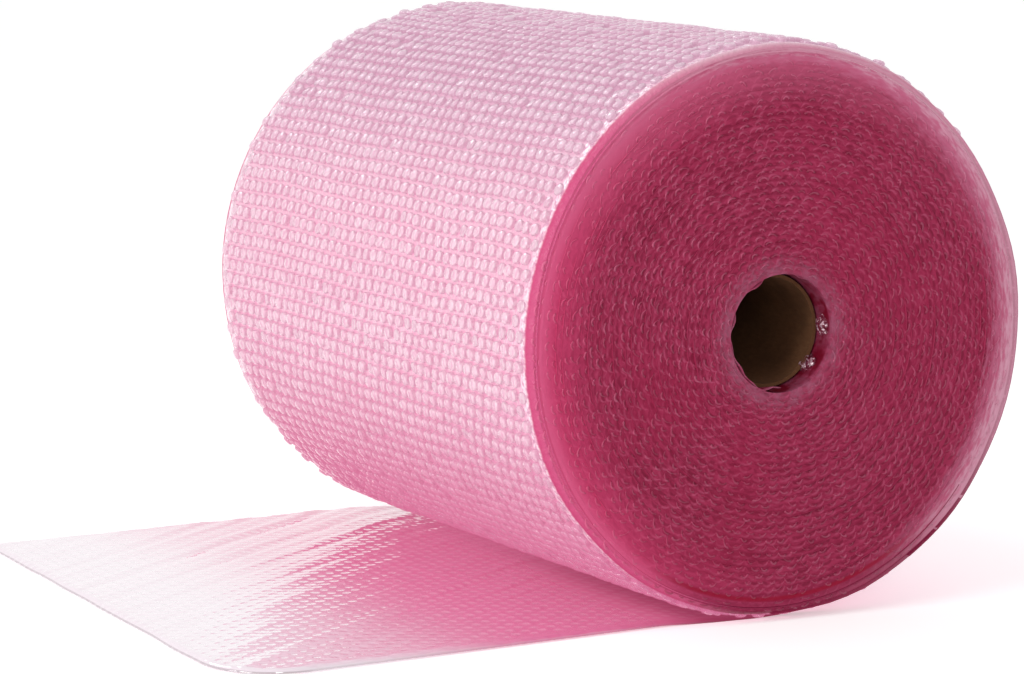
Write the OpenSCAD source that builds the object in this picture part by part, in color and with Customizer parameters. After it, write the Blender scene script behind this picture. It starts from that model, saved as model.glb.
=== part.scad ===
// Roll of bubble wrap on a card tube, lying on its side with the free end of the web run out flat.
// The tube runs along Y through the origin. The web is wound with its bubbles outwards, and leaves the
// bottom of the roll towards -X, so the free end lies on its bubbles with its smooth film upwards.

/* [Web] */
// Width of the web, which is the length of the roll
web_w = 500; // [200:10:1200]
// Number of whole turns wound on the tube
turns = 33; // [8:1:50]
// Thickness of the sealed film that the bubbles stand on
film_t = 1.2; // [0.8:0.1:2]
// Width of the slit that shows between two inner turns
slit_w = 0.95; // [0.4:0.05:1.5]

/* [Bubble rows] */
// Width of a bubble, and so of its row
bubble_w = 10; // [6:0.5:10]
// Height of a bubble above its film
bubble_h = 3.6; // [2.6:0.1:4.6]
// Least distance along the web from one row of bubbles to the next
row_pitch = 10.5; // [10.2:0.1:16]
// Distance from one bubble of a row to the next, half of which is how far every second row is set over
column_pitch = 11.4; // [10.4:0.1:16]
// Width of the smooth margin along both sides of the web
edge_margin = 8.4; // [2:0.2:20]
// Air between the outermost bubbles and the film that lies over them
bubble_clear = 0.15; // [0.1:0.05:0.6]

/* [Card tube] */
// Inner diameter of the tube
core_inner_d = 76; // [50:1:152]
// Thickness of the tube's wall
core_wall = 2.5; // [1.5:0.5:10]
// How far each end of the tube lies inside the end of the roll
core_recess = 20; // [0:1:50]
// Gap between the tube and the first turn
core_clear = 0.25; // [0.1:0.05:0.5]

/* [Free end] */
// Length of web that lies on the floor, from under the roll's axis
tail_len = 430; // [240:2:1500]
// How much shorter that length is at the far side, because the cut runs at a slant
cut_slant = 28; // [0:1:60]
// Radius of the worn corner at the near side of the cut
corner_r = 60; // [20:5:100]
// How far the free end has crept along the tube, away from the near end
creep = 18; // [0:1:30]
// Angle by which the free end veers back to the near side, in degrees
veer = 6; // [0:0.5:8]
// Distance from under the axis at which it starts to veer
veer_start = 80; // [60:5:120]

/* [Flat spot] */
// Height that the roll's weight leaves of its lowest bubbles
pressed_h = 0.2; // [0.1:0.1:1]
// Run over which the free end climbs from there to its full height
ramp_len = 90; // [80:5:120]

/* [Hidden] */

turn_pitch = film_t + bubble_h + bubble_clear;
turn_t = turn_pitch - slit_w;
bore_r = core_inner_d / 2 + core_wall + core_clear;

// The spiral is made of half rings. Those on the +X side share one centre and those on the -X side another,
// half a pitch apart, so each half turn runs on smoothly into the next at the top and the bottom.
right_z = -turn_pitch / 4;
left_z = turn_pitch / 4;
right_r = bore_r + 0.75 * turn_pitch;
left_r = bore_r + 0.25 * turn_pitch;
right_out_r = right_r + (turns - 1) * turn_pitch + film_t;
left_out_r = left_r + (turns - 1) * turn_pitch + film_t;

// A bubble is a round cap: bubble_w wide and bubble_h high, sunk a little into the film that carries it.
cap_r = (pow(bubble_w / 2, 2) + pow(bubble_h, 2)) / (2 * bubble_h);
cap_sink = cap_r - bubble_h;
film_bite = film_t / 2;

climb = bubble_h - pressed_h;
film_low_z = right_z - right_out_r;
floor_z = film_low_z - pressed_h;
// How far a cutting shape runs past what it cuts
over = 1;
reach = right_out_r + bubble_h + over;
row_w = web_w - 2 * edge_margin - column_pitch / 2;

// The last half turn slides along the tube between these heights on its way down
creep_start_z = 0.8 * right_out_r;
creep_stop_z = film_low_z + 5;
FINE = 96;
ROUND = 32;
RAMP_STEPS = 12;

// Height of the free end's film underside, at a distance x from under the axis
function film_z(x) = film_low_z + climb * (x >= ramp_len ? 1 : (1 - cos(180 * x / ramp_len)) / 2);

// Where the middle of the free end lies along the tube, at a distance x from under the axis
function tail_y(x) = creep - tan(veer) * max(0, x - veer_start);

// Keeps the half of a section on one side of the axis: +1 is +X and -1 is -X
module side(sign) {
    intersection() {
        children();
        translate([sign > 0 ? 0 : -reach, -reach]) square([reach, 2 * reach]);
    }
}

module ring(inner_r, thick) {
    difference() {
        circle(inner_r + thick, $fn = FINE);
        circle(inner_r, $fn = FINE);
    }
}

// One side's covered half turns, each as thick as its bubbles
module half_turns(first_r) {
    circle(first_r, $fn = FINE);
    for (i = [0 : turns - 2]) ring(first_r + i * turn_pitch, turn_t);
}

function rows_round(film_r) = floor(PI * film_r / row_pitch);

// Every second row of bubbles seen end on, from row first, where all of them are shared out evenly round half
// a turn of film from angle start
module arc_rows(film_r, start, first) {
    step = 180 / rows_round(film_r);
    difference() {
        for (i = [first : 2 : rows_round(film_r) - 1])
            rotate(start + (i + 0.5) * step) translate([film_r - cap_sink, 0]) circle(cap_r, $fn = ROUND);
        circle(film_r - film_bite, $fn = FINE);
    }
}

// Where the free end's film underside is followed, from under the axis to past the cut
tail_xs = concat([for (i = [0 : RAMP_STEPS]) i * ramp_len / RAMP_STEPS], [tail_len + over]);
tail_last = len(tail_xs) - 1;

// The film of the free end, seen from its side
module tail_film() {
    polygon(concat(
        [for (i = [tail_last : -1 : 0]) [-tail_xs[i], film_z(tail_xs[i])]],
        [for (i = [0 : tail_last]) [-tail_xs[i], film_z(tail_xs[i]) + film_t]]));
}

// Rows of bubbles under the free end, which bite into its film
module tail_rows() {
    intersection() {
        for (x = [row_pitch / 2 : row_pitch : tail_len])
            translate([-x, film_z(x) + cap_sink]) circle(cap_r, $fn = ROUND);
        polygon(concat(
            [for (i = [0 : tail_last]) [-tail_xs[i], film_z(tail_xs[i]) + film_bite]],
            [[-tail_xs[tail_last], floor_z - bubble_h], [0, floor_z - bubble_h]]));
    }
}

// The free end seen from above, with its cut end and sides drawn in by inset
module tail_plan(inset) {
    half_w = web_w / 2 - inset;
    near_len = tail_len - inset;
    far_len = near_len - cut_slant;
    lean = tan(veer);
    polygon(concat(
        [[0, creep - half_w], [0, creep + half_w]],
        [[-veer_start, tail_y(veer_start) + half_w], [-far_len, tail_y(far_len) + half_w]],
        [for (a = [0 : 15 : 90])
            [-near_len + corner_r * (1 - cos(a)),
                tail_y(near_len) - half_w + corner_r * (1 - sin(a)) + lean * corner_r * (1 - cos(a))]],
        [[-veer_start, tail_y(veer_start) - half_w]]));
}

// Draws a section in X and Z out along the tube
module along_tube(length) {
    rotate([90, 0, 0]) linear_extrude(length, center = true) children();
}

module cut_to_plan(inset) {
    intersection() {
        children();
        translate([0, 0, floor_z - over]) linear_extrude(bubble_h + film_t + 2 * over) tail_plan(inset);
    }
}

module above_floor() {
    intersection() {
        children();
        translate([-2 * tail_len, -web_w, floor_z]) cube([4 * tail_len, 2 * web_w, 2 * reach]);
    }
}

// Cuts the last half turn to its width, drawn in by near and by far, where it slides along the tube
module cut_to_creep(near, far) {
    near_y = near - web_w / 2;
    far_y = web_w / 2 - far;
    intersection() {
        children();
        rotate([90, 0, 90]) linear_extrude(reach) polygon([
            [near_y, reach], [near_y, creep_start_z],
            [near_y + creep, creep_stop_z], [near_y + creep, -reach],
            [far_y + creep, -reach], [far_y + creep, creep_stop_z],
            [far_y, creep_start_z], [far_y, reach]]);
    }
}

module wound_film() {
    along_tube(web_w) difference() {
        union() {
            side(1) translate([0, right_z]) half_turns(right_r);
            side(-1) translate([0, left_z]) {
                half_turns(left_r);
                ring(left_out_r - film_t, film_t);
            }
        }
        circle(bore_r, $fn = FINE);
    }
    cut_to_creep(0, 0) along_tube(2 * web_w) side(1) translate([0, right_z]) ring(right_out_r - film_t, film_t);
}

// The rows of bubbles on the outermost turn. Odd ones are set over by half a bubble's place to the far side.
module wound_rows() {
    set_over = column_pitch / 2;
    for (odd = [0, 1]) {
        cut_to_creep(edge_margin + odd * set_over, edge_margin + (1 - odd) * set_over)
            along_tube(2 * web_w) side(1) translate([0, right_z]) arc_rows(right_out_r, -90, odd);
        translate([0, (odd - 0.5) * set_over, 0]) along_tube(row_w)
            side(-1) translate([0, left_z]) arc_rows(left_out_r, 90, (odd + rows_round(right_out_r)) % 2);
    }
}

module bubble_web() {
    color([0.93, 0.58, 0.72]) above_floor() {
        wound_film();
        wound_rows();
        cut_to_plan(0) along_tube(2 * web_w) tail_film();
        cut_to_plan(edge_margin) along_tube(2 * web_w) tail_rows();
    }
}

module core_tube() {
    color([0.45, 0.34, 0.22])
        along_tube(web_w - 2 * core_recess) ring(core_inner_d / 2, core_wall);
}

bubble_web();
core_tube();
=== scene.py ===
"""Roll of pink bubble wrap on a card tube, with its free end run out flat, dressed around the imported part.

The web is made flat, as it is sealed, and then wound. Each piece of it starts as a flat strip, or as one
bubble repeated over a flat grid, and wind_web() carries every point to its place on the roll or the floor.
A place on the web is u, the distance along it from under the roll's axis, negative on the free end, then v,
the distance across it, and h, the height above the film on the side of the bubbles.
"""

import math

import bmesh
import bpy
import numpy as np
from mathutils import Matrix, Vector


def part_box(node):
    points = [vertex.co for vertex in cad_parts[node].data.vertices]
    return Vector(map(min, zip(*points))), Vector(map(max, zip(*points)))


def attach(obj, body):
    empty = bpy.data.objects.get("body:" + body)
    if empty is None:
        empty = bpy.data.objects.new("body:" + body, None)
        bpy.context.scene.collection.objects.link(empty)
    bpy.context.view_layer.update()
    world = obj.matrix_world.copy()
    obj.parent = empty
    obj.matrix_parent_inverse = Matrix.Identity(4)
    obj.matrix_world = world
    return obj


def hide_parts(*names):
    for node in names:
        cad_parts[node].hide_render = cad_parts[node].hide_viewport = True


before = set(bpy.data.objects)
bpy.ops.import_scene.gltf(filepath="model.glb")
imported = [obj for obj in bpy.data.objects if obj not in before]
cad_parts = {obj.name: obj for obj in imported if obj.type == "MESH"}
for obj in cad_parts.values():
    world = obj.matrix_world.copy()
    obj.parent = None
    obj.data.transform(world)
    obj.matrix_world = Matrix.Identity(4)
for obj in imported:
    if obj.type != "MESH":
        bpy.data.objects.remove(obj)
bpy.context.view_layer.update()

MM = 0.001

# Sizes of the web, as in the part's source
WEB_WIDTH = 500 * MM
TURNS = 33
FILM_THICKNESS = 1.2 * MM
BUBBLE_WIDTH = 10 * MM
BUBBLE_HEIGHT = 3.6 * MM
BUBBLE_CLEARANCE = 0.15 * MM
CORE_CLEARANCE = 0.25 * MM
LEAST_ROW_PITCH = 10.5 * MM
COLUMN_PITCH = 11.4 * MM
TAIL_LENGTH = 430 * MM
CUT_SLANT = 28 * MM
CORNER_RADIUS = 60 * MM
CREEP = 18 * MM
VEER = math.radians(6)
VEER_START = 80 * MM
PRESSED_HEIGHT = 0.2 * MM
RAMP_LENGTH = 90 * MM

# Sizes that only show here
COLUMNS = 42
SHEET_THICKNESS = 0.6 * MM
MARGIN_WIDTH = 9 * MM
MARGIN_DROOP = 3 * MM
# How far the outermost turn and the one under it hang slack, and where along each turn they hang most
OUTER_SAG = 7 * MM
SECOND_SAG = 4.5 * MM
SAG_MIDDLE = 0.23
SAG_SPREAD = 0.2
# Share of the bubbles that are slack, and the distance from the web's middle past which more of them are
SLACK_SHARE = 0.06
SLACK_FROM = 224 * MM
# Distance from the middle of the web past which bubbles of the second turn can show
SECOND_SHOWS_FROM = 200 * MM
# Rows of bubbles under the free end, counted from under the roll's axis
TAIL_ROWS = (-42, -2)
# How far inside each end of the roll its inner turns stop, behind the edges of the film
TURNS_SUNK = 1.35 * MM
# The distance from the free end's cut that a place on the roll is given
FAR_FROM_CUT = 1.0

# Sizes that follow from them and from the frame
FLOOR_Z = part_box("bubble_web")[0].z
TURN_PITCH = FILM_THICKNESS + BUBBLE_HEIGHT + BUBBLE_CLEARANCE
BORE_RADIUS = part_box("core_tube")[1].x + CORE_CLEARANCE
RIGHT_Z = -TURN_PITCH / 4
LEFT_Z = TURN_PITCH / 4
RIGHT_RADIUS = BORE_RADIUS + 0.75 * TURN_PITCH + (TURNS - 1) * TURN_PITCH + FILM_THICKNESS
LEFT_RADIUS = BORE_RADIUS + 0.25 * TURN_PITCH + (TURNS - 1) * TURN_PITCH + FILM_THICKNESS
FILM_LOW_Z = RIGHT_Z - RIGHT_RADIUS
FIRST_COLUMN = -((COLUMNS - 1) * COLUMN_PITCH + COLUMN_PITCH / 2) / 2
OUTER_ROWS = int(math.pi * RIGHT_RADIUS / LEAST_ROW_PITCH) + int(math.pi * LEFT_RADIUS / LEAST_ROW_PITCH)
ROW_PITCH = math.pi * (RIGHT_RADIUS + LEFT_RADIUS) / OUTER_ROWS


# The web and how it is wound

def half_turn_table():
    """Film radius, centre height and start on the web of each half turn, from the outside inwards."""
    rows = []
    start = 0.0
    for half in range(2 * TURNS):
        first = RIGHT_RADIUS if half % 2 == 0 else LEFT_RADIUS
        centre = RIGHT_Z if half % 2 == 0 else LEFT_Z
        radius = first - (half // 2) * TURN_PITCH
        rows.append((radius, centre, start))
        start += math.pi * radius
    return np.array(rows), start


HALF_TURNS, WOUND_LENGTH = half_turn_table()
OUTER_TURN = HALF_TURNS[2][2]
SECOND_TURN = HALF_TURNS[4][2]
INNER_TURN = HALF_TURNS[-3][2]


def place_on_web(half_turns):
    """The web distance after a number of half turns, from the outside inwards."""
    whole = np.clip(half_turns.astype(int), 0, 2 * TURNS - 1)
    return HALF_TURNS[whole, 2] + (half_turns - whole) * math.pi * HALF_TURNS[whole, 0]


def waviness(position, seed, wavelength, count=6):
    """A sum of seeded sines along a position: smooth and repeatable, mostly between -1 and 1."""
    draw = np.random.default_rng(seed)
    total = np.zeros_like(position)
    for _ in range(count):
        length = wavelength * draw.uniform(0.6, 1.8)
        total += np.sin(2 * math.pi * position / length + draw.uniform(0, 2 * math.pi))
    return total / count ** 0.5


def web_creep(u):
    """How far the web has slid along the tube: most at the free end, and less over the outer turns."""
    wound = np.maximum(u, 0)
    slid = CREEP * (0.76 * np.exp(-wound / 0.25) + 0.24 * np.exp(-wound / 1.5))
    return slid - math.tan(VEER) * np.maximum(0, -u - VEER_START)


def slackness(u, v):
    """How far the outer turns stand off their true radius, where they are wound a little loosely."""
    loose = np.clip(u / (40 * MM), 0, 1) * np.clip((SECOND_TURN - u) / OUTER_TURN, 0, 1)
    round_turn = np.where(u < OUTER_TURN, u, u - OUTER_TURN)
    most = np.where(u < OUTER_TURN, OUTER_SAG, SECOND_SAG) * np.clip(round_turn / (80 * MM), 0, 1)
    sag = most * np.exp(-((round_turn - SAG_MIDDLE) / SAG_SPREAD) ** 2)
    return loose * (sag + 0.35 * MM * (waviness(u, 11, 0.13) + waviness(v + 0.4 * u, 12, 0.16)))


def stretch(u, v):
    """How far the outermost turn is drawn out of square, which bends its rows of bubbles a little."""
    wound = np.clip(u / (120 * MM), 0, 1) * np.clip((OUTER_TURN - u) / (120 * MM), 0, 1)
    return wound * 0.6 * MM * (waviness(v + 0.5 * u, 13, 0.22) + waviness(v - 0.3 * u, 14, 0.1))


def wind_web(points):
    """Carries points (u, v, h) of the flat web to their place on the roll and on the floor."""
    u, v, h = points[:, 0], points[:, 1], points[:, 2]
    half = np.clip(np.searchsorted(HALF_TURNS[:, 2], u, side="right") - 1, 0, 2 * TURNS - 1)
    radius, centre, start = HALF_TURNS[half].T
    angle = -math.pi / 2 + math.pi * (half % 2) + (u + stretch(u, v) - start) / radius
    out = radius + h + slackness(u, v)
    wound = np.stack([out * np.cos(angle), v + web_creep(u), centre + out * np.sin(angle)], axis=1)
    run = np.clip(-u / RAMP_LENGTH, 0, 1)
    climb = (BUBBLE_HEIGHT - PRESSED_HEIGHT) * (1 - np.cos(math.pi * run)) / 2
    laid = np.stack([u, v + web_creep(u), FILM_LOW_Z + climb - h], axis=1)
    placed = np.where((u < 0)[:, None], laid, wound)
    placed[:, 2] = np.maximum(placed[:, 2], FLOOR_Z)
    return placed


def from_bubble(u, v):
    """Distance from the nearest bubble's middle on the flat web."""
    nearest = np.full_like(u, 1.0)
    for row in (0, 1):
        along = (u / ROW_PITCH - 0.5 - row) / 2
        across = (v - FIRST_COLUMN) / COLUMN_PITCH - row / 2
        off_u = (along - np.round(along)) * 2 * ROW_PITCH
        off_v = (across - np.round(across)) * COLUMN_PITCH
        nearest = np.minimum(nearest, np.hypot(off_u, off_v))
    return nearest


# Making meshes

def points_of(mesh):
    flat = np.empty(len(mesh.vertices) * 3)
    mesh.vertices.foreach_get("co", flat)
    return flat.reshape(-1, 3)


def set_points(mesh, points):
    mesh.vertices.foreach_set("co", points.ravel())
    mesh.update()


def set_attribute(mesh, name, values):
    layer = mesh.attributes.new(name, "FLOAT_VECTOR", "POINT")
    layer.data.foreach_set("vector", values.ravel())


def mesh_from(build, name):
    bm = bmesh.new()
    build(bm)
    bmesh.ops.recalc_face_normals(bm, faces=bm.faces)
    mesh = bpy.data.meshes.new(name)
    bm.to_mesh(mesh)
    bm.free()
    return mesh


def repeated(mesh, steps):
    """The mesh repeated by Array modifiers: steps holds a count and an offset for each."""
    source = bpy.data.objects.new("pattern", mesh)
    bpy.context.scene.collection.objects.link(source)
    for count, offset in steps:
        array = source.modifiers.new("repeat", "ARRAY")
        array.count = count
        array.use_relative_offset = False
        array.use_constant_offset = True
        array.constant_offset_displace = offset
    evaluated = source.evaluated_get(bpy.context.evaluated_depsgraph_get())
    result = bpy.data.meshes.new_from_object(evaluated)
    bpy.data.objects.remove(source)
    return result


def make_piece(name, mesh, material):
    """Puts a finished mesh into the scene as part of the web."""
    mesh.name = name
    mesh.materials.clear()
    mesh.materials.append(material)
    piece = bpy.data.objects.new(name, mesh)
    bpy.context.scene.collection.objects.link(piece)
    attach(piece, "root")
    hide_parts("bubble_web")
    return piece


def smooth_all(mesh):
    mesh.polygons.foreach_set("use_smooth", np.ones(len(mesh.polygons), dtype=bool))


# Bubbles

# Shares of a bubble's width and of its height, from its foot to its crown
BUBBLE_PROFILE = ((1.0, -0.03), (0.96, 0.58), (0.76, 0.91), (0.0, 1.0))
# Its length along the web, as a share of its width
BUBBLE_ALONG = 0.95


def bubble_mesh(sides):
    """One bubble standing on its film: a steep side, a rounded shoulder and a gently crowned top."""

    def build(bm):
        profile = BUBBLE_PROFILE
        bmesh.ops.create_circle(bm, cap_ends=True, segments=sides, radius=BUBBLE_WIDTH / 2)
        foot = list(bm.faces)[0]
        foot.smooth = False
        bmesh.ops.translate(bm, verts=foot.verts, vec=(0, 0, profile[0][1] * BUBBLE_HEIGHT))
        top = bmesh.ops.extrude_face_region(bm, geom=[foot], use_keep_orig=True)["geom"]
        face = [item for item in top if isinstance(item, bmesh.types.BMFace)][0]
        for (scale_low, low), (scale_high, high) in zip(profile, profile[1:-1]):
            if scale_low != profile[0][0]:
                lifted = bmesh.ops.extrude_face_region(bm, geom=[face])["geom"]
                face = [item for item in lifted if isinstance(item, bmesh.types.BMFace)][0]
            bmesh.ops.scale(bm, verts=face.verts, vec=(scale_high / scale_low, scale_high / scale_low, 1))
            bmesh.ops.translate(bm, verts=face.verts, vec=(0, 0, (high - low) * BUBBLE_HEIGHT))
        crown = bmesh.ops.poke(bm, faces=[face])
        for vert in crown["verts"]:
            vert.co.z = profile[-1][1] * BUBBLE_HEIGHT
        bmesh.ops.scale(bm, verts=bm.verts, vec=(BUBBLE_ALONG, 1, 1))
        for side in bm.faces:
            side.smooth = side is not foot

    return mesh_from(build, "bubble")


def row_pairs(mesh, pairs, first_row):
    """The bubble set out in staggered pairs of rows over the flat web, from an even row onwards."""
    bm = bmesh.new()
    bm.from_mesh(mesh)
    second = bmesh.ops.duplicate(bm, geom=bm.verts[:] + bm.edges[:] + bm.faces[:])["geom"]
    moved = [item for item in second if isinstance(item, bmesh.types.BMVert)]
    bmesh.ops.translate(bm, verts=moved, vec=(ROW_PITCH, COLUMN_PITCH / 2, 0))
    bmesh.ops.translate(bm, verts=bm.verts, vec=((first_row + 0.5) * ROW_PITCH, FIRST_COLUMN, 0))
    bm.to_mesh(mesh)
    bm.free()
    return repeated(mesh, [(COLUMNS, (0, COLUMN_PITCH, 0)), (pairs, (2 * ROW_PITCH, 0, 0))])


def shape_bubbles(flat, verts_each, seed):
    """Gives each bubble its own height and lean, lets a few go slack, and notes how high each point is."""
    draw = np.random.default_rng(seed)
    bubbles = len(flat) // verts_each
    shaped = flat.reshape(bubbles, verts_each, 3).copy()
    share = shaped[:, :, 2] / BUBBLE_HEIGHT
    middle = shaped[:, :, :2].mean(axis=1, keepdims=True)
    off = (shaped[:, :, :2] - middle) / (BUBBLE_WIDTH / 2)
    at_margin = np.clip((np.abs(middle[:, :, 1]) - SLACK_FROM) / (12 * MM), 0, 1)
    slack = draw.random((bubbles, 1)) < SLACK_SHARE + 0.4 * at_margin
    height = np.clip(draw.normal(1.0, 0.08, (bubbles, 1)), 0.8, 1.08)
    height = np.where(slack, draw.uniform(0.4, 0.75, (bubbles, 1)), height)
    lean = draw.normal(0, 0.09, (bubbles, 1, 2))
    dent_way = draw.uniform(0, 2 * math.pi, (bubbles, 1))
    dent = np.where(slack, 0.5, draw.uniform(0, 0.12, (bubbles, 1)))
    toward = off[:, :, 0] * np.cos(dent_way) + off[:, :, 1] * np.sin(dent_way)
    shaped[:, :, 2] *= height * (1 + (off * lean).sum(axis=2)) * (1 - dent * np.clip(toward, 0, 1) ** 2)
    shaped[:, :, :2] += draw.normal(0, 0.22 * MM, (bubbles, 1, 2))
    form = np.zeros_like(shaped)
    form[:, :, 0] = np.clip(share, 0, 1)
    form[:, :, 1] = draw.random((bubbles, 1))
    return shaped.reshape(-1, 3), form.reshape(-1, 3)


def keep_bubbles(mesh, flat, verts_each, keep):
    """Leaves only the bubbles whose middles pass keep(u, v)."""
    middles = flat.reshape(-1, verts_each, 3).mean(axis=1)
    kept = np.repeat(keep(middles[:, 0], middles[:, 1]), verts_each)
    bm = bmesh.new()
    bm.from_mesh(mesh)
    bm.verts.ensure_lookup_table()
    gone = [bm.verts[int(i)] for i in np.flatnonzero(~kept)]
    bmesh.ops.delete(bm, geom=gone, context="VERTS")
    bm.to_mesh(mesh)
    bm.free()
    return flat[kept]


def bubble_field(name, material, first_row, stop_row, seed, sides=12, keep=None):
    """Bubbles on the web from an even row up to another, wound with the web."""
    one = bubble_mesh(sides)
    verts_each = len(one.vertices)
    mesh = row_pairs(one, (stop_row - first_row) // 2, first_row)
    flat = points_of(mesh)
    if keep is not None:
        flat = keep_bubbles(mesh, flat, verts_each, keep)
    flat, form = shape_bubbles(flat, verts_each, seed)
    set_attribute(mesh, "web_place", flat)
    set_attribute(mesh, "bubble_form", form)
    set_points(mesh, wind_web(flat))
    return make_piece(name, mesh, material)


# Film

def flat_strip(name, u_steps, v_steps, thickness):
    """A flat strip of film, 1 by 1, with its bubble side at h = 0 and its smooth side at h = -thickness."""

    def build(bm):
        bmesh.ops.create_grid(bm, x_segments=u_steps, y_segments=v_steps, size=0.5)
        bmesh.ops.translate(bm, verts=bm.verts, vec=(0.5, 0.5, 0))
        walls = bmesh.ops.extrude_face_region(bm, geom=bm.faces[:], use_keep_orig=True)["geom"]
        lowered = [item for item in walls if isinstance(item, bmesh.types.BMVert)]
        bmesh.ops.translate(bm, verts=lowered, vec=(0, 0, -thickness))

    mesh = mesh_from(build, name)
    smooth_all(mesh)
    return mesh


def tail_cut_u(v):
    """The u at which the slanting cut, with its worn near corner, ends the web at v."""
    from_near = v + WEB_WIDTH / 2
    cut = -TAIL_LENGTH + CUT_SLANT * from_near / WEB_WIDTH
    into = np.clip(1 - from_near / CORNER_RADIUS, 0, 1)
    return cut + CORNER_RADIUS * (1 - np.sqrt(1 - into ** 2)) + 0.5 * MM * waviness(v, 21, 0.09)


def free_end_relief(u, v):
    """How far the smooth side of the free end rises: over each bubble, and in long low ripples."""
    domed = np.clip(1 - (from_bubble(u, v) / (BUBBLE_WIDTH / 2)) ** 2, 0, 1)
    ripple = waviness(u - 1.6 * v, 22, 0.05) + 0.7 * waviness(u + 0.2 * v, 23, 0.09)
    calmer = 1 - 0.5 * np.clip((-0.22 - u) / 0.1, 0, 1)
    return 0.26 * MM * domed + 0.34 * MM * ripple * calmer


def margin_droop(v):
    """How far the smooth margin of a wound turn sinks, because no bubbles hold it up."""
    from_edge = WEB_WIDTH / 2 - np.abs(v)
    return MARGIN_DROOP * np.clip(1 - from_edge / MARGIN_WIDTH, 0, 1) ** 2


def outer_film(material):
    """The outermost turn and the free end: one strip, cut to the shape of its end."""
    tail_steps, roll_steps, v_steps = 150, 112, 150
    run_under = 0.13
    u_stop = OUTER_TURN + run_under
    mesh = flat_strip("outer_film", tail_steps + roll_steps, v_steps, SHEET_THICKNESS)
    flat = points_of(mesh)
    step = flat[:, 0] * (tail_steps + roll_steps)
    across = 2 * flat[:, 1] - 1
    closer_at_edges = 1.25 * across - 0.25 * across ** 3
    flat[:, 1] = closer_at_edges * WEB_WIDTH / 2
    u, v = flat[:, 0], flat[:, 1]
    cut = tail_cut_u(v)
    on_tail = cut * (1 - step / tail_steps)
    on_roll = u_stop * (step - tail_steps) / roll_steps
    u[:] = np.where(step < tail_steps, on_tail, on_roll)
    laid = np.clip(-u / (60 * MM), 0, 1)
    to_edge = np.minimum(WEB_WIDTH / 2 - np.abs(v), u - cut)
    droop = np.clip(1 - to_edge / (5 * MM), 0, 1) ** 2
    relief = free_end_relief(u, v) * (1 - droop)
    flat[:, 2] += laid * (2.4 * MM * droop - relief) - np.clip(u / (60 * MM), 0, 1) * margin_droop(v)
    set_attribute(mesh, "web_place", flat)
    from_cut = np.where(u < 0, u - cut, FAR_FROM_CUT)
    from_side = np.where(u < 0, to_edge, FAR_FROM_CUT)
    set_attribute(mesh, "from_cut", np.stack([from_cut, from_side, np.zeros_like(u)], axis=1))
    set_points(mesh, wind_web(flat))
    return make_piece("outer_film", mesh, material)


def edge_jitter(u, side):
    """How far the slit edge of the web wanders at one end of the roll."""
    return 0.4 * MM * waviness(u, 31 + side, 0.17) + 0.3 * MM * waviness(u, 33 + side, 0.035)


def turn_edges(name, side, material):
    """The edge of the film at one end of the roll, from the second turn to the first one wound."""
    per_half = 40
    first_half = 2
    thickness, narrow, wide, up_to_tube = 0.45 * MM, 4.5 * MM, 28 * MM, 19.5 * MM
    steps = per_half * (2 * TURNS - first_half)
    mesh = flat_strip(name, steps, 1, thickness)
    flat = points_of(mesh)
    u = place_on_web(flat[:, 0] * steps / per_half + first_half)
    depth = np.where(u < SECOND_TURN + 0.1, wide, np.where(u > INNER_TURN, up_to_tube, narrow))
    at_edge = flat[:, 1] > 0.5
    ragged = 1.6 * MM + 1.8 * MM * np.clip(waviness(u, 35 + side, 0.03), -0.8, 1.4)
    flat[:, 2] -= np.where(at_edge & (u > INNER_TURN), ragged, 0)
    flat[:, 1] = side * (WEB_WIDTH / 2 - 1.1 * MM - np.where(at_edge, 0, depth) + edge_jitter(u, side))
    flat[:, 0] = u
    set_attribute(mesh, "web_place", flat)
    set_points(mesh, wind_web(flat))
    if side < 0:
        mesh.flip_normals()
    return make_piece(name, mesh, material)


def slack_margins(name, side, material):
    """The slack margins of the second and third turns, which fill the space up to the turn over them."""
    per_half = 70
    steps = 4 * per_half
    least_in, width, overlap = 0.4 * MM, 6 * MM, 0.05 * MM
    mesh = flat_strip(name, steps, 3, 1)
    flat = points_of(mesh)
    half_turns = 2 + flat[:, 0] * steps / per_half
    u, u_over = place_on_web(half_turns), place_on_web(half_turns - 2)
    set_back = np.maximum(0, side * (web_creep(u) - web_creep(u_over)))
    in_from_over = least_in + width * flat[:, 1]
    v = side * (WEB_WIDTH / 2 - set_back - in_from_over)
    sunk = margin_droop(WEB_WIDTH / 2 - in_from_over)
    height = TURN_PITCH - SHEET_THICKNESS + overlap - sunk + slackness(u_over, v) - slackness(u, v)
    crumpled = 0.35 * MM * waviness(u, 41 + side, 0.011) * (flat[:, 1] < 0.1)
    flat[:, 2] = (1 + flat[:, 2]) * height
    flat[:, 1] = v + side * crumpled
    flat[:, 0] = u
    set_attribute(mesh, "web_place", flat)
    set_points(mesh, wind_web(flat))
    if side > 0:
        mesh.flip_normals()
    return make_piece(name, mesh, material)


def bubble_arch():
    """The crescent of a bubble's wall that shows from the web's edge, over its film."""
    wall, deep, radius, open_angle = 1.7 * MM, 1.2 * MM, 4.4 * MM, math.radians(150)
    start = (math.pi - open_angle) / 2

    def build(bm):
        inner, half = radius - wall, deep / 2
        corners = [(radius, -half), (radius, half), (inner, half), (inner, -half)]
        section = bm.faces.new([bm.verts.new((x, y, 0)) for x, y in corners])
        bmesh.ops.rotate(bm, verts=bm.verts, cent=(0, 0, 0), matrix=Matrix.Rotation(-start, 3, "Y"))
        bmesh.ops.spin(bm, geom=[section], axis=(0, -1, 0), cent=(0, 0, 0), steps=5, angle=open_angle)
        bmesh.ops.scale(bm, verts=bm.verts, vec=(1, 1, BUBBLE_HEIGHT / radius))

    mesh = mesh_from(build, "arch")
    smooth_all(mesh)
    return mesh


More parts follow.
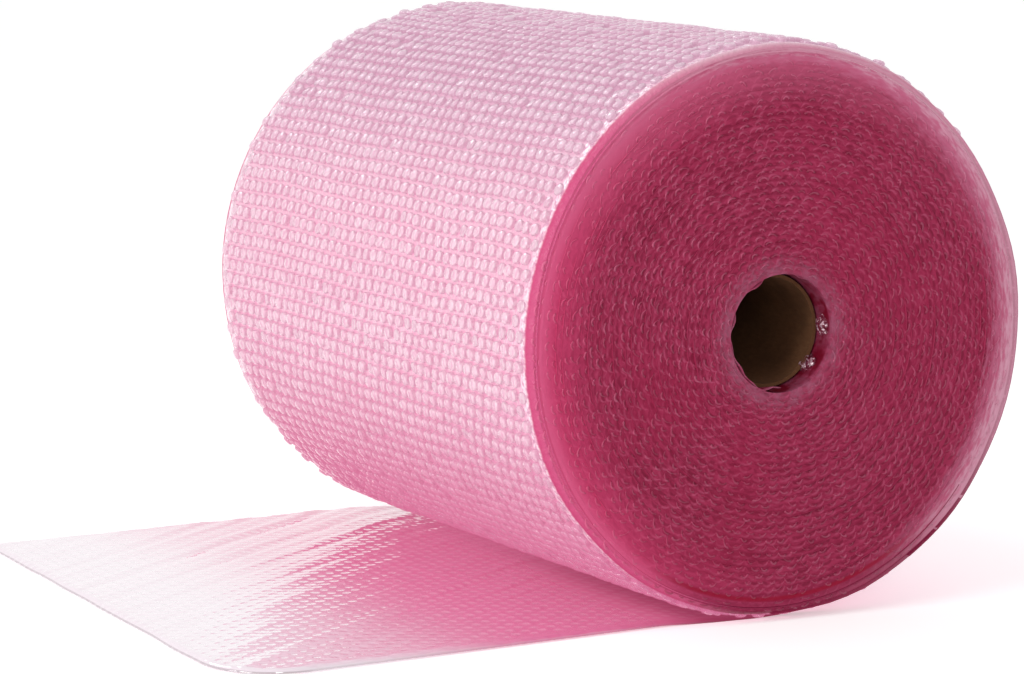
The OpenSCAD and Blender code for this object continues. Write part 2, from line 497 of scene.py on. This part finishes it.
def end_arches(name, side, material, row, sunk, seed):
    """The crescents of the bubbles at one end of the roll, in every second row of the wound turns."""
    arch = bubble_arch()
    verts_each = len(arch.vertices)
    first = int((SECOND_TURN - 0.35) / (2 * ROW_PITCH))
    last = int((WOUND_LENGTH - 12 * MM) / (2 * ROW_PITCH)) - 1
    mesh = repeated(arch, [(last - first, (2 * ROW_PITCH, 0, 0))])
    local = points_of(mesh).reshape(-1, verts_each, 3)
    count = len(local)
    local[:, :, 0] -= (2 * ROW_PITCH * np.arange(count))[:, None]
    draw = np.random.default_rng(seed)
    centre = (2 * np.arange(first, last) + row + 0.5)[:, None] * ROW_PITCH
    width = draw.uniform(0.55, 1.05, (count, 1))
    height = draw.uniform(0.55, 1.0, (count, 1))
    lean = draw.normal(0, 0.26, (count, 1))
    flat = np.zeros_like(local)
    flat[:, :, 0] = centre + local[:, :, 0] * width + draw.normal(0, 0.7 * MM, (count, 1))
    flat[:, :, 2] = local[:, :, 2] * height + local[:, :, 0] * lean
    inset = sunk + np.abs(draw.normal(0, 0.25 * MM, (count, 1)))
    flat[:, :, 1] = side * (WEB_WIDTH / 2 - inset + local[:, :, 1])
    form = np.zeros_like(flat)
    form[:, :, 0] = np.clip(flat[:, :, 2] / BUBBLE_HEIGHT, 0, 1)
    form[:, :, 1] = draw.random((count, 1))
    flat = flat.reshape(-1, 3)
    set_attribute(mesh, "web_place", flat)
    set_attribute(mesh, "bubble_form", form.reshape(-1, 3))
    set_points(mesh, wind_web(flat))
    if side < 0:
        mesh.flip_normals()
    return make_piece(name, mesh, material)


def second_turn(material):
    """The turn under the outermost one, across the whole web, which shows where that one has crept."""
    u_steps, v_steps = 132, 14
    mesh = flat_strip("second_turn", u_steps, v_steps, SHEET_THICKNESS)
    flat = points_of(mesh)
    flat[:, 0] = OUTER_TURN + 0.12 + flat[:, 0] * (SECOND_TURN - OUTER_TURN + 0.06)
    flat[:, 1] = (flat[:, 1] - 0.5) * (WEB_WIDTH - 1 * MM)
    set_attribute(mesh, "web_place", flat)
    set_attribute(mesh, "from_cut", np.full_like(flat, FAR_FROM_CUT))
    set_points(mesh, wind_web(flat))
    return make_piece("second_turn", mesh, material)


def popped_bubble(name, material, angle, depth, size, seed):
    """A burst bubble crumpled against the wall of the opening, at an angle round it and a depth inside."""

    def build(bm):
        bmesh.ops.create_icosphere(bm, subdivisions=4, radius=1.0)
        under = [vert for vert in bm.verts if vert.co.z < -0.35]
        bmesh.ops.delete(bm, geom=under, context="VERTS")
        rim = [edge for edge in bm.edges if edge.is_boundary]
        bmesh.ops.holes_fill(bm, edges=rim, sides=0)

    mesh = mesh_from(build, name)
    points = points_of(mesh)
    draw = np.random.default_rng(seed)
    around = np.arctan2(points[:, 1], points[:, 0])
    folds = sum(draw.uniform(0.5, 1) * np.sin(k * around + draw.uniform(0, 6)) for k in (2, 3, 4)) / 3
    dents = sum(np.abs(np.sin(points @ draw.normal(0, 2.4, 3) + draw.uniform(0, 6))) for _ in range(4)) / 4
    swell = 0.8 + 0.14 * folds * np.hypot(points[:, 0], points[:, 1]) + 0.5 * (dents - 0.6)
    points = points * swell[:, None] * (size / 2, size / 2, size * 0.36)
    turned = np.array(Matrix.Rotation(angle, 3, "Y").inverted() @ Matrix.Rotation(-math.pi / 2, 3, "Y"))
    points = points @ turned.T
    at = np.array([math.cos(angle), 0, math.sin(angle)]) * (BORE_RADIUS + 0.6 * MM)
    points += at + np.array([0, -WEB_WIDTH / 2 + depth, 0])
    set_points(mesh, points)
    smooth_all(mesh)
    return make_piece(name, mesh, material)


def inner_turns(material):
    """The wound turns between the two ends, behind their edges."""

    def build(bm):
        outer = LEFT_RADIUS - 1.5 * TURN_PITCH
        inner = BORE_RADIUS + 1.2 * MM
        half = WEB_WIDTH / 2 - TURNS_SUNK
        profile = [(inner, -half), (outer, -half), (outer, half), (inner, half)]
        verts = [bm.verts.new((x, y, 0)) for x, y in profile]
        edges = [bm.edges.new((verts[i], verts[(i + 1) % 4])) for i in range(4)]
        bmesh.ops.spin(bm, geom=verts + edges, axis=(0, 1, 0), cent=(0, 0, 0), steps=160,
                       angle=2 * math.pi, use_merge=True)

    return make_piece("inner_turns", mesh_from(build, "inner_turns"), material)


# Materials

# How strongly a film glows with its own colour: painted light, standing in for the light that comes through
# it from behind
THROUGH_FILM = 0.42
BLACK = (0, 0, 0, 1)


def grey(share):
    """A grey that leaves this share of any colour that it is multiplied by."""
    return (share, share, share, 1)


def pink(red, green, blue):
    """A colour given as it looks on a screen, from 0 to 255, in the linear values that a shader takes."""
    return tuple((value / 255) ** 2.2 for value in (red, green, blue)) + (1,)


class Finish:
    """A material under construction, with short ways to add the nodes that these finishes need."""

    def __init__(self, name):
        self.material = bpy.data.materials.new(name)
        self.material.use_nodes = True
        self.tree = self.material.node_tree
        self.shader = self.tree.nodes["Principled BSDF"]

    def feed(self, socket, value):
        if isinstance(value, bpy.types.NodeSocket):
            self.tree.links.new(value, socket)
        else:
            socket.default_value = value

    def set(self, **values):
        for name, value in values.items():
            self.feed(self.shader.inputs[name.replace("_", " ")], value)

    def attribute(self, name):
        node = self.tree.nodes.new("ShaderNodeAttribute")
        node.attribute_name = name
        return node.outputs["Vector"]

    def object_place(self):
        return self.tree.nodes.new("ShaderNodeTexCoord").outputs["Object"]

    def split(self, vector):
        node = self.tree.nodes.new("ShaderNodeSeparateXYZ")
        self.feed(node.inputs[0], vector)
        return node.outputs

    def join(self, *values):
        node = self.tree.nodes.new("ShaderNodeCombineXYZ")
        for socket, value in zip(node.inputs, values):
            self.feed(socket, value)
        return node.outputs[0]

    def number(self, operation, *values, clamp=False):
        node = self.tree.nodes.new("ShaderNodeMath")
        node.operation = operation
        node.use_clamp = clamp
        for socket, value in zip(node.inputs, values):
            self.feed(socket, value)
        return node.outputs[0]

    def vector(self, operation, *values):
        node = self.tree.nodes.new("ShaderNodeVectorMath")
        node.operation = operation
        for socket, value in zip(node.inputs, values):
            self.feed(socket, value)
        return node.outputs["Value"] if operation == "LENGTH" else node.outputs["Vector"]

    def between(self, value, low, high, to_low=0.0, to_high=1.0):
        """The value carried smoothly from one range to another."""
        node = self.tree.nodes.new("ShaderNodeMapRange")
        node.interpolation_type = "SMOOTHSTEP"
        for socket, item in zip(node.inputs, (value, low, high, to_low, to_high)):
            self.feed(socket, item)
        return node.outputs[0]

    def noise(self, place, scale, detail, roughness=0.5):
        node = self.tree.nodes.new("ShaderNodeTexNoise")
        self.feed(node.inputs["Vector"], place)
        node.inputs["Scale"].default_value = scale
        node.inputs["Detail"].default_value = detail
        node.inputs["Roughness"].default_value = roughness
        return node.outputs["Fac"]

    def mix(self, share, first, second, blend="MIX"):
        node = self.tree.nodes.new("ShaderNodeMix")
        node.data_type = "RGBA"
        node.blend_type = blend
        self.feed(node.inputs[0], share)
        self.feed(node.inputs[6], first)
        self.feed(node.inputs[7], second)
        return node.outputs[2]

    def ramp(self, value, stops):
        node = self.tree.nodes.new("ShaderNodeValToRGB")
        while len(node.color_ramp.elements) < len(stops):
            node.color_ramp.elements.new(1.0)
        for element, (position, color) in zip(node.color_ramp.elements, stops):
            element.position = position
            element.color = color
        self.feed(node.inputs[0], value)
        return node.outputs[0]

    def times(self, *values):
        """The product of two numbers or more, sockets among them."""
        product = values[0]
        for value in values[1:]:
            product = self.number("MULTIPLY", product, value)
        return product

    def tint(self, color, other, *shares):
        """The colour turned towards another by the product of these shares."""
        return self.mix(self.times(*shares), color, other)

    def filtered(self, color, other):
        """The colour multiplied by another."""
        return self.mix(1.0, color, other, "MULTIPLY")

    def bump(self, height, distance):
        node = self.tree.nodes.new("ShaderNodeBump")
        node.inputs["Distance"].default_value = distance
        self.feed(node.inputs["Height"], height)
        return node.outputs[0]

    def bubble_distance(self, place, shift_u=0.0, shift_v=0.0):
        """Distance from the nearest bubble's middle, by the web's own place, in metres."""
        pitch = (2 * ROW_PITCH, COLUMN_PITCH, 0)
        per_pitch = (1 / pitch[0], 1 / pitch[1], 0)
        cells = self.vector("MULTIPLY", place, per_pitch)
        found = []
        for row in (0, 1):
            to_middle = (0.25 - row / 2 + shift_u, 0.5 - FIRST_COLUMN / COLUMN_PITCH - row / 2 + shift_v, 0)
            cell = self.vector("FRACTION", self.vector("ADD", cells, to_middle))
            off = self.vector("MULTIPLY", self.vector("SUBTRACT", cell, (0.5, 0.5, 0)), pitch)
            found.append(self.vector("LENGTH", off))
        return self.number("MINIMUM", *found)


def by_height(finish, color):
    """Painted light and shade: light through the web painted a deeper pink towards the floor, and the top
    greyer.
    """
    z = finish.split(finish.object_place())[2]
    color = finish.tint(color, pink(240, 160, 193), finish.between(z, -0.02, -0.18, 0, 0.6))
    color = finish.tint(color, pink(243, 194, 215), finish.between(z, 0.03, 0.16, 0, 0.5))
    low = finish.between(z, -0.03, -0.20)
    color = finish.tint(color, finish.filtered(color, pink(234, 180, 206)), low)
    high = finish.between(z, 0.05, 0.20)
    return finish.tint(color, finish.filtered(color, pink(234, 236, 240)), high)


def lit_through(finish, color):
    """A film's colour for light on its face, and for a glow of painted light that stands in for light
    through it, of which more comes low down.
    """
    z = finish.split(finish.object_place())[2]
    low = finish.between(z, -0.02, -0.17)
    on_face = finish.tint(grey(0.56), grey(0.36), low)
    through = finish.tint(grey(1.0), grey(1.48), low)
    return finish.filtered(color, on_face), finish.filtered(color, through)


def bubble_finish():
    """Blown film: a deeper foot, a pale ring round its shoulder that is a painted reflection, a clearer
    crown and painted glints.
    """
    finish = Finish("blown_bubbles")
    place = finish.attribute("web_place")
    share, tone = finish.split(finish.attribute("bubble_form"))[0:2]
    # The pale ring at the shoulder is a painted reflection on the bubble's steep wall
    color = finish.ramp(share, [(0.0, pink(236, 172, 201)), (0.35, pink(241, 186, 209)),
                                (0.72, pink(244, 194, 215)), (0.91, pink(252, 216, 230)),
                                (0.945, pink(246, 200, 219)), (1.0, pink(242, 192, 214))])
    color = finish.tint(color, pink(252, 214, 229), finish.between(tone, 0, 1, 0.0, 0.18))
    patches = finish.noise(finish.vector("MULTIPLY", place, (1, 0.45, 0)), 26, 1)
    color = finish.tint(color, pink(238, 162, 192), finish.between(patches, 0.5, 0.78, 0, 0.3))
    # Fine pale strokes across each bubble: painted glints on its wrinkles
    glint_strokes = finish.noise(finish.vector("MULTIPLY", place, (0.3, 1, 0.3)), 600, 1, 0.6)
    painted_glint_color = finish.tint(pink(232, 164, 194), pink(255, 228, 240), finish.between(glint_strokes, 0.4, 0.6))
    color = finish.tint(color, painted_glint_color, 0.42)
    color = by_height(finish, color)
    wrinkles = finish.bump(finish.noise(place, 390, 1, 0.6), 0.85 * MM)
    on_face, through = lit_through(finish, color)
    # The bubbles glow with their own colour: painted light for what comes through them
    finish.set(Base_Color=on_face, Alpha=0.66, Roughness=0.15,
               Coat_Weight=1.0, Coat_Roughness=0.06, Coat_Normal=wrinkles,
               Emission_Color=through, Emission_Strength=THROUGH_FILM)
    return finish.material


def rim_color(finish, x, z, from_edge):
    """Colour of a wound turn's smooth margin: crimson at the left, pale at top and right as painted light,
    dark below as painted shade.
    """
    to_edge = finish.between(from_edge, 8 * MM, 0.0)
    color = finish.tint(pink(198, 66, 114), pink(206, 84, 128), to_edge)
    top_color = finish.tint(pink(230, 192, 206), pink(208, 138, 162), to_edge)
    right_color = finish.tint(pink(214, 164, 182), pink(196, 132, 154), to_edge)
    low_color = finish.tint(pink(142, 40, 74), pink(130, 30, 64), to_edge)
    color = finish.tint(color, low_color, finish.between(x, -0.09, -0.02))
    color = finish.tint(color, right_color, finish.between(x, 0.06, 0.15), finish.between(z, -0.16, -0.06))
    return finish.tint(color, top_color, finish.between(z, 0.06, 0.16), finish.between(x, -0.17, -0.03))


def film_finish():
    """Smooth film with the rings of the bubbles on it and, where it is wound, of those on the turn below."""
    finish = Finish("smooth_film")
    place = finish.attribute("web_place")
    u, v = finish.split(place)[0:2]
    x, _, z = finish.split(finish.object_place())
    own = finish.bubble_distance(place)
    below = finish.bubble_distance(place, 0.19, 0.31)
    on_roll = finish.between(u, 0, 0.02)
    off_roll = finish.between(u, 0.02, 0.0)
    up_to_roll = finish.between(u, 0.03, 0.0)
    from_edge = finish.number("SUBTRACT", WEB_WIDTH / 2, finish.number("ABSOLUTE", v))
    has_bubbles = finish.between(from_edge, 9 * MM, 13 * MM)

    # The seal round each bubble, and on the roll the rings of the bubbles below
    seal = finish.between(own, BUBBLE_WIDTH * 0.40, BUBBLE_WIDTH * 0.54)
    color = finish.tint(pink(242, 182, 207), pink(237, 166, 196), seal)
    ring = finish.times(finish.between(below, 3.2 * MM, 4.2 * MM), finish.between(below, 5.4 * MM, 4.4 * MM))
    color = finish.tint(color, pink(250, 204, 220), ring, on_roll, 0.4)
    patches = finish.noise(finish.vector("MULTIPLY", place, (1, 0.6, 0)), 18, 1)
    color = finish.tint(color, pink(236, 146, 180), finish.between(patches, 0.45, 0.75, 0, 0.3))
    color = by_height(finish, color)

    # The free end, with its bubbles as pale crests, paler away from the roll, and then the rim of the roll
    crests = finish.times(finish.between(own, BUBBLE_WIDTH * 0.45, BUBBLE_WIDTH * 0.2),
                          finish.between(u, 0.0, -0.02))
    color = finish.tint(color, pink(252, 214, 228), crests, has_bubbles, 0.3)
    color = finish.tint(color, pink(231, 216, 225), finish.between(u, -0.17, -0.36))
    # The rim of the roll, in painted light at top and right and painted shade below
    color = finish.tint(color, rim_color(finish, x, z, from_edge),
                        finish.between(from_edge, 9.5 * MM, 6 * MM), on_roll)

    # Deeper pink under the roll as painted light from it, painted shade by the roll, most of all at the near
    # side, and the line of the cut edges
    near_side = finish.between(v, 0.16, -0.2, 0.3, 1.0)
    color = finish.tint(color, pink(240, 124, 164), finish.between(u, -0.26, -0.02), up_to_roll, 0.35)
    shade = finish.times(finish.between(u, -0.15, -0.03), up_to_roll, near_side)
    color = finish.tint(color, pink(176, 66, 100), shade, 0.6)
    # A painted shadow line where the free end runs in under the roll
    contact_shadow = finish.times(finish.between(u, -0.085, -0.035), up_to_roll, near_side)
    color = finish.tint(color, pink(132, 34, 68), contact_shadow, 0.6)
    # The cut edges drawn as a dark line: the film's edge, with a painted shadow under it
    from_cut, from_side = finish.split(finish.attribute("from_cut"))[0:2]
    cut = finish.number("MAXIMUM", finish.between(from_cut, 1.3 * MM, 0.6 * MM, 0, 0.45),
                        finish.between(from_side, 1.0 * MM, 0.4 * MM, 0, 0.2))
    color = finish.tint(color, pink(120, 96, 106), cut)

    # Painted highlights and shade on the folds of the crumpled margins
    crumpled = finish.times(finish.between(from_edge, 16 * MM, 11 * MM), on_roll)
    folds = finish.noise(place, 210, 2, 0.65)
    crease_light_color = finish.ramp(folds, [(0.36, pink(204, 140, 170)), (0.47, pink(238, 178, 204)),
                                     (0.58, pink(255, 236, 244))])
    crease_light_share = finish.times(crumpled, finish.between(from_edge, 5 * MM, 8 * MM),
                              finish.between(z, -0.19, -0.14))
    color = finish.tint(color, crease_light_color, crease_light_share, 0.75)

    # Relief, and where the film is matte
    crumples = finish.times(crumpled, 2.2 * MM, folds)
    grain = finish.times(finish.noise(place, 260, 0), 0.08 * MM)
    domes = finish.times(finish.between(own, BUBBLE_WIDTH * 0.5, BUBBLE_WIDTH * 0.1, 0, 0.36 * MM),
                         off_roll, has_bubbles)
    relief = finish.bump(finish.number("ADD", domes, finish.number("ADD", crumples, grain)), 1.0)
    matte = finish.times(finish.between(from_edge, 9 * MM, 6 * MM), on_roll)
    matte = finish.number("MAXIMUM", matte, finish.times(shade, 0.85))
    # The film glows with its own colour: painted light for what comes through it
    finish.set(Base_Color=finish.filtered(color, grey(0.56)),
               Roughness=finish.between(matte, 0, 1, 0.12, 0.5),
               Coat_Weight=finish.between(matte, 0, 1, 1.0, 0.05),
               Coat_Roughness=0.05, Coat_IOR=1.9, Specular_IOR_Level=0.2, Normal=relief, Coat_Normal=relief,
               Emission_Color=color, Emission_Strength=THROUGH_FILM)
    return finish.material


def from_axis(finish, x, z):
    return finish.number("SQRT", finish.number("ADD", finish.times(x, x), finish.times(z, z)))


def bubble_outlines(finish, x, z, radius):
    """Shares of lit wall and of shaded foot, from the domes of the bubbles between turns, seen end on."""
    angle = finish.number("ARCTAN2", z, x)
    above_bore = finish.number("DIVIDE", finish.number("SUBTRACT", radius, BORE_RADIUS), TURN_PITCH)
    turn = finish.number("ADD", above_bore, finish.number("DIVIDE", angle, 2 * math.pi))
    whole = finish.number("FLOOR", turn)
    height = finish.number("SUBTRACT", turn, whole)
    film_radius = finish.number("ADD", finish.times(whole, TURN_PITCH), BORE_RADIUS)
    rows = finish.number("DIVIDE", finish.times(angle, film_radius), ROW_PITCH)
    bend = finish.noise(finish.object_place(), 60, 1)
    rows = finish.number("ADD", finish.number("ADD", rows, finish.times(whole, 0.618)), bend)
    off = finish.number("SUBTRACT", finish.number("FRACT", rows), 0.5)
    round_top = finish.number("SQRT", finish.number("SUBTRACT", 1, finish.times(off, off, 5.2), clamp=True))
    above = finish.number("SUBTRACT", height, finish.times(round_top, 0.74))
    wall = finish.between(finish.number("ABSOLUTE", above), 0.26, 0.06)
    foot = finish.times(finish.between(above, -0.1, -0.3), finish.between(above, -0.75, -0.5))
    broken = finish.noise(finish.object_place(), 150, 2, 0.6)
    lit_half = finish.between(off, -0.35, 0.3, 0.35, 1)
    lit = finish.times(wall, lit_half, finish.between(broken, 0.4, 0.56))
    return lit, finish.times(foot, finish.between(broken, 0.62, 0.44))


def end_color(finish, deep, light):
    """Colour of what shows at the roll's ends: crimson, with painted light brighter to the left and mauve
    and pale at the rim, and painted shade below.
    """
    x, y, z = finish.split(finish.object_place())
    radius = from_axis(finish, x, z)
    from_rim = finish.number("SUBTRACT", LEFT_RADIUS, radius)
    around, outwards = 17, 430
    curled = finish.join(finish.number("DIVIDE", finish.times(x, around), radius),
                         finish.times(radius, outwards),
                         finish.number("DIVIDE", finish.times(z, around), radius))
    streaks = finish.noise(curled, 1.0, 3, 0.6)
    cloud = finish.noise(finish.object_place(), 11, 1)
    color = finish.tint(deep, light, finish.between(streaks, 0.34, 0.66, 0.15, 0.85))
    lit, shaded = bubble_outlines(finish, x, z, radius)
    color = finish.tint(color, pink(110, 20, 48), shaded, 0.6)
    color = finish.tint(color, pink(188, 88, 120), lit, 0.5)
    color = finish.tint(color, pink(152, 30, 68), finish.between(cloud, 0.45, 0.7, 0, 0.3))

    # Painted light: brighter along the left of the rim, with a paler fringe at its edge, and hazy along the
    # top
    bright = finish.times(finish.between(from_rim, 60 * MM, 4 * MM), finish.between(x, 0.03, -0.17))
    color = finish.tint(color, pink(212, 68, 114), bright, 0.72)
    fringe = finish.times(finish.between(from_rim, 20 * MM, 4 * MM), finish.between(x, -0.04, -0.15))
    color = finish.tint(color, pink(220, 100, 142), fringe, 0.6)
    haze = finish.times(finish.between(from_rim, 48 * MM, 6 * MM), finish.between(z, 0.04, 0.16))
    color = finish.tint(color, pink(190, 92, 124), haze, 0.6)

    # A mauve band along the rim with a pale fringe, most of it at the upper right: painted light that comes
    # through the outer turns
    lit_side = finish.between(finish.number("ADD", x, finish.times(z, 0.6)), -0.12, 0.16, 0.06, 1.0)
    band_width = finish.between(x, 0.0, 0.17, 14 * MM, 28 * MM)
    into_band = finish.number("DIVIDE", from_rim, band_width)
    uneven = finish.number("ADD", into_band, finish.between(streaks, 0.3, 0.7, -0.18, 0.18))
    color = finish.tint(color, pink(190, 102, 133), finish.between(uneven, 1.0, 0.55), lit_side, 0.7)
    color = finish.tint(color, pink(208, 156, 175), finish.between(uneven, 0.6, 0.1), lit_side, 0.8)

    # Painted shade along the bottom of the rim, with a painted shadow line in the gap between its turns
    low_rim = finish.times(finish.between(from_rim, 22 * MM, 8 * MM), finish.between(z, -0.13, -0.18),
                           finish.between(x, -0.12, -0.05))
    color = finish.tint(color, pink(126, 30, 62), low_rim, 0.6)
    gap_shadow = finish.times(finish.between(from_rim, 15.5 * MM, 13.5 * MM),
                       finish.between(from_rim, 10.5 * MM, 12.5 * MM))
    low = finish.times(finish.between(z, -0.14, -0.175), finish.between(x, -0.12, -0.06))
    color = finish.tint(color, pink(140, 0, 44), gap_shadow, low, 0.85)

    # Torn pale film round the opening, and inside it the red wall, darkened in patches and with depth as
    # painted shade
    to_mouth = finish.number("ADD", radius, finish.between(streaks, 0.3, 0.7, -6 * MM, 6 * MM))
    mouth = finish.between(to_mouth, BORE_RADIUS + 18 * MM, BORE_RADIUS + 2 * MM)
    torn = finish.between(finish.noise(finish.object_place(), 120, 2, 0.65), 0.38, 0.6, 0.25, 0.62)
    color = finish.tint(color, pink(156, 92, 116), mouth, torn)
    depth = finish.number("SUBTRACT", WEB_WIDTH / 2, finish.number("ABSOLUTE", y))
    opening_shade = finish.times(finish.between(depth, 2.5 * MM, 6 * MM), finish.between(radius, 60 * MM, 50 * MM))
    shade_patches = finish.between(finish.noise(finish.object_place(), 75, 2, 0.6), 0.4, 0.6, 0.35, 0.95)
    return finish.tint(color, pink(108, 6, 34), opening_shade, shade_patches)


def end_finish(name, deep, light, through):
    """What shows at the roll's ends, glowing in its own colour as painted light for what comes through, most
    of it at the rim.
    """
    finish = Finish(name)
    color = end_color(finish, deep, light)
    x, _, z = finish.split(finish.object_place())
    from_rim = finish.number("SUBTRACT", LEFT_RADIUS, from_axis(finish, x, z))
    share = finish.between(from_rim, 20 * MM, 9 * MM, through, 0.68)
    finish.set(Base_Color=finish.tint(color, BLACK, share),
               Emission_Color=finish.tint(BLACK, color, share), Emission_Strength=1.0,
               Roughness=0.55, Specular_IOR_Level=0.15)
    return finish.material


def arch_finish(name, strength):
    """Crescents paler than what is round them, as painted light on the bubbles' walls, each by its own tone,
    fading towards their feet, with a faint glow.
    """
    finish = Finish(name)
    share, tone = finish.split(finish.attribute("bubble_form"))[0:2]
    ground = end_color(finish, pink(140, 34, 68), pink(160, 52, 86))
    color = finish.tint(ground, pink(208, 134, 160), finish.between(tone, 0, 1, 0.3, 1),
                        finish.between(share, 0.05, 0.5, 0.3, 1), strength)
    finish.set(Base_Color=finish.filtered(color, grey(0.8)),
               Emission_Color=color, Emission_Strength=0.2, Roughness=0.4, Specular_IOR_Level=0.25)
    return finish.material


def popped_finish():
    """Crumpled clear film with painted glints along its creases."""
    finish = Finish("popped_film")
    creases = finish.noise(finish.object_place(), 300, 2, 0.6)
    color = finish.tint(pink(150, 70, 96), pink(246, 214, 224), finish.between(creases, 0.5, 0.68))
    finish.set(Base_Color=color, Alpha=finish.between(creases, 0.44, 0.66, 0.18, 0.8), Roughness=0.08,
               Coat_Weight=1.0, Coat_Roughness=0.04, Coat_IOR=1.7, Normal=finish.bump(creases, 0.5 * MM))
    return finish.material


def card_finish():
    """Grey-brown card with long fibres and darker blotches, the whole darkened as painted shade for the
    tube's shaded inside.
    """
    finish = Finish("wound_card")
    place = finish.object_place()
    fibres = finish.noise(finish.vector("MULTIPLY", place, (1, 0.35, 1)), 420, 4, 0.65)
    blotches = finish.noise(place, 34, 3)
    color = finish.tint(pink(90, 60, 41), pink(122, 86, 60), fibres)
    color = finish.tint(color, pink(78, 54, 37), finish.between(blotches, 0.4, 0.7, 0, 0.5))
    finish.set(Base_Color=color, Roughness=0.92, Specular_IOR_Level=0.2,
               Normal=finish.bump(fibres, 0.15 * MM))
    return finish.material


# Studio

def white_floor():
    bm = bmesh.new()
    bmesh.ops.create_grid(bm, x_segments=1, y_segments=1, size=40)
    bmesh.ops.translate(bm, verts=bm.verts, vec=(0, 0, FLOOR_Z - 0.1 * MM))
    mesh = bpy.data.meshes.new("floor")
    bm.to_mesh(mesh)
    bm.free()
    finish = Finish("white_floor")
    path = finish.tree.nodes.new("ShaderNodeLightPath").outputs
    seen = finish.number("MAXIMUM", path["Is Camera Ray"], path["Is Glossy Ray"])
    seen = finish.number("MAXIMUM", seen, path["Is Transmission Ray"])
    finish.set(Base_Color=(0.9, 0.9, 0.9, 1), Roughness=0.7, Specular_IOR_Level=0.1,
               Emission_Color=(1, 1, 1, 1), Emission_Strength=finish.times(seen, 0.42))
    mesh.materials.append(finish.material)
    floor = bpy.data.objects.new("floor", mesh)
    bpy.context.scene.collection.objects.link(floor)


def world_light():
    """White light from all round, and a white background where the camera or a reflection sees it."""
    world = bpy.data.worlds.new("studio")
    bpy.context.scene.world = world
    world.use_nodes = True
    nodes, links = world.node_tree.nodes, world.node_tree.links
    background = nodes["Background"]
    background.inputs["Color"].default_value = (1, 1, 1, 1)
    path = nodes.new("ShaderNodeLightPath").outputs
    seen = path["Is Camera Ray"]
    for ray in ("Is Glossy Ray", "Is Transmission Ray"):
        either = nodes.new("ShaderNodeMath")
        either.operation = "MAXIMUM"
        links.new(seen, either.inputs[0])
        links.new(path[ray], either.inputs[1])
        seen = either.outputs[0]
    strength = nodes.new("ShaderNodeMapRange")
    links.new(seen, strength.inputs["Value"])
    strength.inputs["To Min"].default_value = 0.62
    strength.inputs["To Max"].default_value = 1.0
    links.new(strength.outputs[0], background.inputs["Strength"])


def softbox(name, place, size, power):
    """A square lamp that faces the middle of the roll."""
    lamp = bpy.data.lights.new(name, "AREA")
    lamp.size = size
    lamp.energy = power
    holder = bpy.data.objects.new(name, lamp)
    bpy.context.scene.collection.objects.link(holder)
    holder.location = place
    holder.rotation_mode = "QUATERNION"
    holder.rotation_quaternion = (-Vector(place)).to_track_quat("-Z", "Y")


# The camera that matches the photograph's outline of the roll
CAMERA_YAW = math.radians(28.917)
CAMERA_PITCH = math.radians(7.672)
CAMERA_ROLL = math.radians(0.933)
CAMERA_LENS = 141.78
CAMERA_PLACE = (-1.5170, -2.6047, 0.3712)


def photo_camera():
    data = bpy.data.cameras.new("camera")
    data.sensor_width = 36
    data.lens = CAMERA_LENS
    camera = bpy.data.objects.new("camera", data)
    bpy.context.scene.collection.objects.link(camera)
    turned = Matrix.Rotation(-CAMERA_YAW, 4, "Z")
    raised = Matrix.Rotation(math.pi / 2 - CAMERA_PITCH, 4, "X")
    rolled = Matrix.Rotation(CAMERA_ROLL, 4, "Z")
    camera.matrix_world = Matrix.Translation(CAMERA_PLACE) @ turned @ raised @ rolled
    data.clip_start = 0.05
    data.clip_end = 100
    bpy.context.scene.camera = camera


photo_camera()
bpy.context.scene.view_settings.view_transform = "Standard"
world_light()
softbox("left_softbox", (-2.5, -0.9, 0.75), 1.3, 40)
softbox("front_softbox", (-0.9, -2.8, 1.0), 0.4, 7)
softbox("back_softbox", (-0.9, 2.0, 1.9), 0.8, 14)
white_floor()

blown_bubbles = bubble_finish()
smooth_film = film_finish()
slit_edges = end_finish("slit_edges", pink(136, 32, 64), pink(154, 46, 80), 0.1)
loose_margins = end_finish("loose_margins", pink(160, 50, 84), pink(178, 68, 102), 0.42)
wound_depth = end_finish("wound_turns", pink(134, 30, 62), pink(164, 52, 86), 0.0)
bright_arches = arch_finish("bubble_ends", 0.14)
faint_arches = arch_finish("deeper_bubble_ends", 0.09)
popped_film = popped_finish()

ROWS_ROUND = OUTER_ROWS // 2 * 2
outer_film(smooth_film)
third = ROWS_ROUND // 6 * 2
bubble_field("roll_bubbles_low", blown_bubbles, 0, third, seed=1)
bubble_field("roll_bubbles_top", blown_bubbles, third, 2 * third, seed=2)
bubble_field("roll_bubbles_side", blown_bubbles, 2 * third, ROWS_ROUND, seed=3)
bubble_field("second_turn_bubbles", blown_bubbles, ROWS_ROUND, 2 * ROWS_ROUND - 2, seed=4,
             keep=lambda u, v: np.abs(v) > SECOND_SHOWS_FROM)
second_turn(smooth_film)
bubble_field("tail_bubbles", blown_bubbles, *TAIL_ROWS, seed=5, sides=8,
             keep=lambda u, v: u > tail_cut_u(v) + 9 * MM)
inner_turns(wound_depth)
for end_name, side in (("near", -1), ("far", 1)):
    turn_edges(end_name + "_turn_edges", side, slit_edges)
    slack_margins(end_name + "_slack_margins", side, loose_margins)
    end_arches(end_name + "_bubble_arches", side, bright_arches, 0, 1.4 * MM, seed=6 + side)
    end_arches(end_name + "_deeper_arches", side, faint_arches, 1, 1.55 * MM, seed=9 + side)
popped_bubble("popped_bubble_upper", popped_film, math.radians(4), 12 * MM, 16 * MM, seed=51)
popped_bubble("popped_bubble_lower", popped_film, math.radians(-37), 17 * MM, 16 * MM, seed=52)

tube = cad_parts["core_tube"]
tube.data.materials.clear()
tube.data.materials.append(card_finish())
